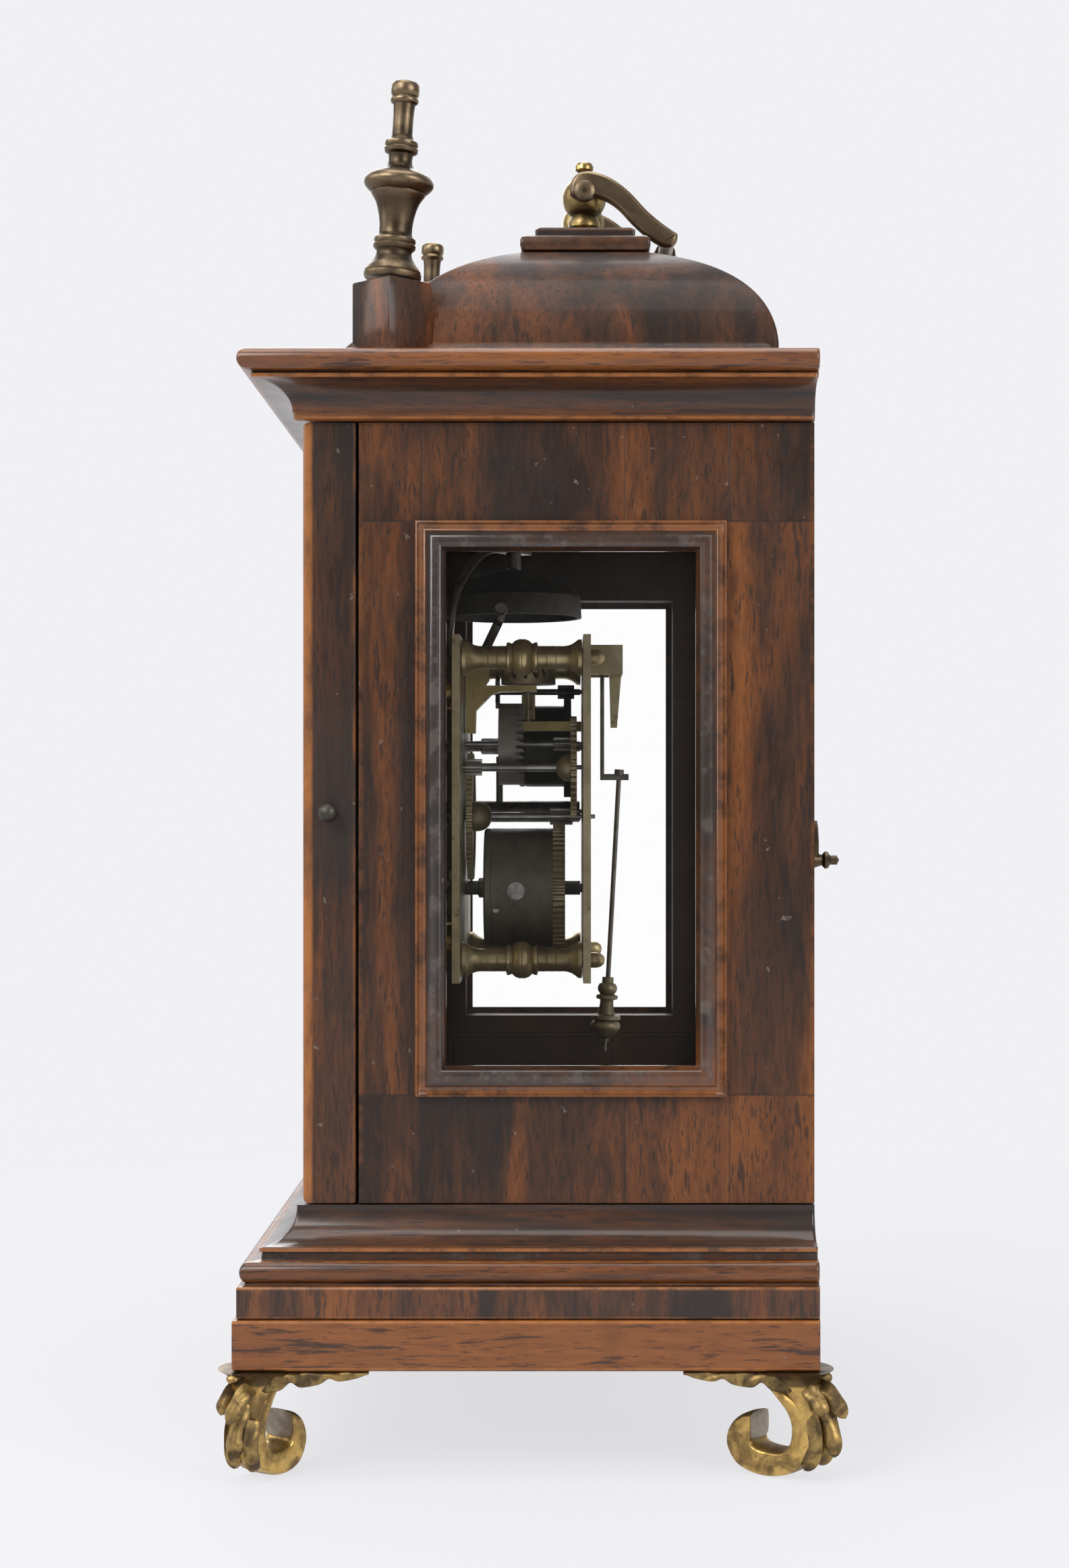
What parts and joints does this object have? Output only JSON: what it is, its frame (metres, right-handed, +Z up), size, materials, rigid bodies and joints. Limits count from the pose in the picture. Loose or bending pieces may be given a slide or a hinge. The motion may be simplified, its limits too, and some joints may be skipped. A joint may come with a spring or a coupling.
{
  "type": "table clock",
  "caption": "Spring-driven table clock in a moulded wooden case with glazed sides, scroll feet, finials, domed top, folding handle, verge movement and bell.",
  "frame": {"origin": "middle of the footprint, on the plane that the feet stand on", "axes": "X to the side seen in the picture, Y from the front door to the back, Z up"},
  "size_m": [0.2532, 0.1714, 0.3857],
  "materials": {
    "veneer": "dark polished burr veneer, worn",
    "glass": "thin old window glass",
    "gilt_brass": "rubbed gilding over dark patina",
    "aged_bronze": "turned, brown patina with bright edges",
    "movement_brass": "tarnished, specked",
    "silvered_brass": "matt silvered",
    "steel": "dark oiled steel"
  },
  "bodies": {
    "case": {"plinth": "veneer", "side_panel_right": "veneer", "window_moulding_right": "veneer", "side_glass_right": "glass", "side_panel_left": "veneer", "window_moulding_left": "veneer", "side_glass_left": "glass", "cornice": "veneer", "dome": "veneer", "dome_cap": "veneer", "finial_block_right": "veneer", "finial_right": "aged_bronze", "finial_block_left": "veneer", "finial_left": "aged_bronze", "handle_post_right": "aged_bronze", "handle_post_left": "aged_bronze", "foot_front_right": "gilt_brass", "foot_front_left": "gilt_brass", "foot_rear_right": "gilt_brass", "foot_rear_left": "gilt_brass", "dial_plate": "movement_brass", "chapter_ring": "silvered_brass", "front_plate": "movement_brass", "back_plate": "movement_brass", "pillar_upper_right": "movement_brass", "pillar_upper_left": "movement_brass", "pillar_lower_right": "movement_brass", "pillar_lower_left": "movement_brass", "front_potence": "movement_brass", "rear_potence": "movement_brass", "back_cock": "movement_brass", "bell": "movement_brass", "bell_stand": "steel"},
    "front_door": {"front_door": "veneer", "front_glass": "glass", "door_knob": "steel"},
    "rear_door": {"rear_door": "veneer", "rear_glass": "glass"},
    "turn_catch": {"turn_catch": "movement_brass"},
    "handle": {"carrying_handle": "aged_bronze"},
    "barrel": {"going_barrel": "movement_brass"},
    "winding_arbor": {"barrel_arbor": "steel"},
    "click": {"click": "steel"},
    "centre": {"centre_arbor": "movement_brass", "minute_hand": "steel"},
    "third": {"third_arbor": "movement_brass"},
    "contrate": {"contrate_arbor": "movement_brass"},
    "crown": {"crown_wheel": "movement_brass"},
    "minute_wheel": {"minute_wheel": "movement_brass"},
    "hour": {"hour_wheel": "movement_brass", "hour_hand": "steel"},
    "pendulum": {"verge_and_pendulum": "steel"},
    "bob": {"pendulum_bob": "movement_brass"},
    "alarm_barrel": {"alarm_barrel": "movement_brass"},
    "alarm_winding_arbor": {"alarm_barrel_arbor": "steel"},
    "alarm_arbor": {"alarm_arbor": "steel"},
    "let_off_lever": {"let_off_lever": "steel"},
    "hammer": {"hammer": "steel"}
  },
  "joints": [
    {"name": "front_door_hinge", "type": "hinge", "parent": "case", "child": "front_door", "pos_m": [-0.1, -0.05114, 0], "axis": [0, 0, -1], "range_deg": [0, 100]},
    {"name": "rear_door_hinge", "type": "hinge", "parent": "case", "child": "rear_door", "pos_m": [-0.0877, 0.07536, 0], "axis": [0, 0, 1], "range_deg": [0, 90]},
    {"name": "turn_catch_turn", "type": "hinge", "parent": "case", "child": "turn_catch", "pos_m": [0.0965, 0.07816, 0.1675], "axis": [0, -1, 0], "range_deg": [0, 90]},
    {"name": "handle_fold", "type": "hinge", "parent": "case", "child": "handle", "pos_m": [0, 0.01516, 0.3706], "axis": [1, 0, 0], "range_deg": [0, 235]},
    {"name": "contrate_spin", "type": "hinge", "parent": "case", "child": "contrate", "pos_m": [0, 0.01516, 0.20214], "axis": [0, 1, 0], "continuous": true},
    {"name": "third_spin", "type": "hinge", "parent": "case", "child": "third", "pos_m": [0.0155, 0.01516, 0.1946], "axis": [0, 1, 0], "continuous": true},
    {"name": "centre_spin", "type": "hinge", "parent": "case", "child": "centre", "pos_m": [0, 0.01516, 0.1793], "axis": [0, 1, 0], "continuous": true},
    {"name": "barrel_spin", "type": "hinge", "parent": "case", "child": "barrel", "pos_m": [0, 0.01516, 0.15669], "axis": [0, 1, 0], "continuous": true},
    {"name": "crown_spin", "type": "hinge", "parent": "case", "child": "crown", "pos_m": [0, -0.00235, 0], "axis": [0, 0, 1], "continuous": true},
    {"name": "minute_wheel_spin", "type": "hinge", "parent": "case", "child": "minute_wheel", "pos_m": [0.012, 0.01516, 0.1793], "axis": [0, 1, 0], "continuous": true},
    {"name": "hour_spin", "type": "hinge", "parent": "case", "child": "hour", "pos_m": [0, 0.01516, 0.1793], "axis": [0, 1, 0], "continuous": true},
    {"name": "winding_turn", "type": "hinge", "parent": "case", "child": "winding_arbor", "pos_m": [0, 0.01516, 0.15669], "axis": [0, 1, 0], "continuous": true},
    {"name": "click_lift", "type": "hinge", "parent": "case", "child": "click", "pos_m": [0.0104, 0.01516, 0.15129], "axis": [0, 1, 0], "range_deg": [0, 12]},
    {"name": "pendulum_swing", "type": "hinge", "parent": "case", "child": "pendulum", "pos_m": [0, 0.01516, 0.22834], "axis": [0, 1, 0], "range_deg": [-10, 10]},
    {"name": "bob_rating", "type": "slide", "parent": "pendulum", "child": "bob", "axis": [0, 0.054, 0.9985], "range_m": [-0.003, 0.003]},
    {"name": "alarm_barrel_spin", "type": "hinge", "parent": "case", "child": "alarm_barrel", "pos_m": [-0.027, 0.01516, 0.2021], "axis": [0, 1, 0], "continuous": true},
    {"name": "alarm_arbor_spin", "type": "hinge", "parent": "case", "child": "alarm_arbor", "pos_m": [-0.02306, 0.01516, 0.21967], "axis": [0, 1, 0], "continuous": true},
    {"name": "alarm_winding_turn", "type": "hinge", "parent": "case", "child": "alarm_winding_arbor", "pos_m": [-0.027, 0.01516, 0.2021], "axis": [0, 1, 0], "continuous": true},
    {"name": "let_off_turn", "type": "hinge", "parent": "case", "child": "let_off_lever", "pos_m": [-0.03, 0.01516, 0.1808], "axis": [0, 1, 0], "range_deg": [-5, 5]},
    {"name": "hammer_swing", "type": "hinge", "parent": "case", "child": "hammer", "pos_m": [0.0195, 0.01516, 0.2306], "axis": [0, 1, 0], "range_deg": [0, 12]}
  ],
  "couplings": [
    {"joint": "third_spin", "follows": "contrate_spin", "ratio": -0.13333},
    {"joint": "centre_spin", "follows": "contrate_spin", "ratio": 0.016667},
    {"joint": "barrel_spin", "follows": "contrate_spin", "ratio": -0.0020833},
    {"joint": "crown_spin", "follows": "contrate_spin", "ratio": 6},
    {"joint": "minute_wheel_spin", "follows": "contrate_spin", "ratio": -0.0055556},
    {"joint": "hour_spin", "follows": "contrate_spin", "ratio": 0.0013889},
    {"joint": "alarm_arbor_spin", "follows": "alarm_barrel_spin", "ratio": -8}
  ]
}
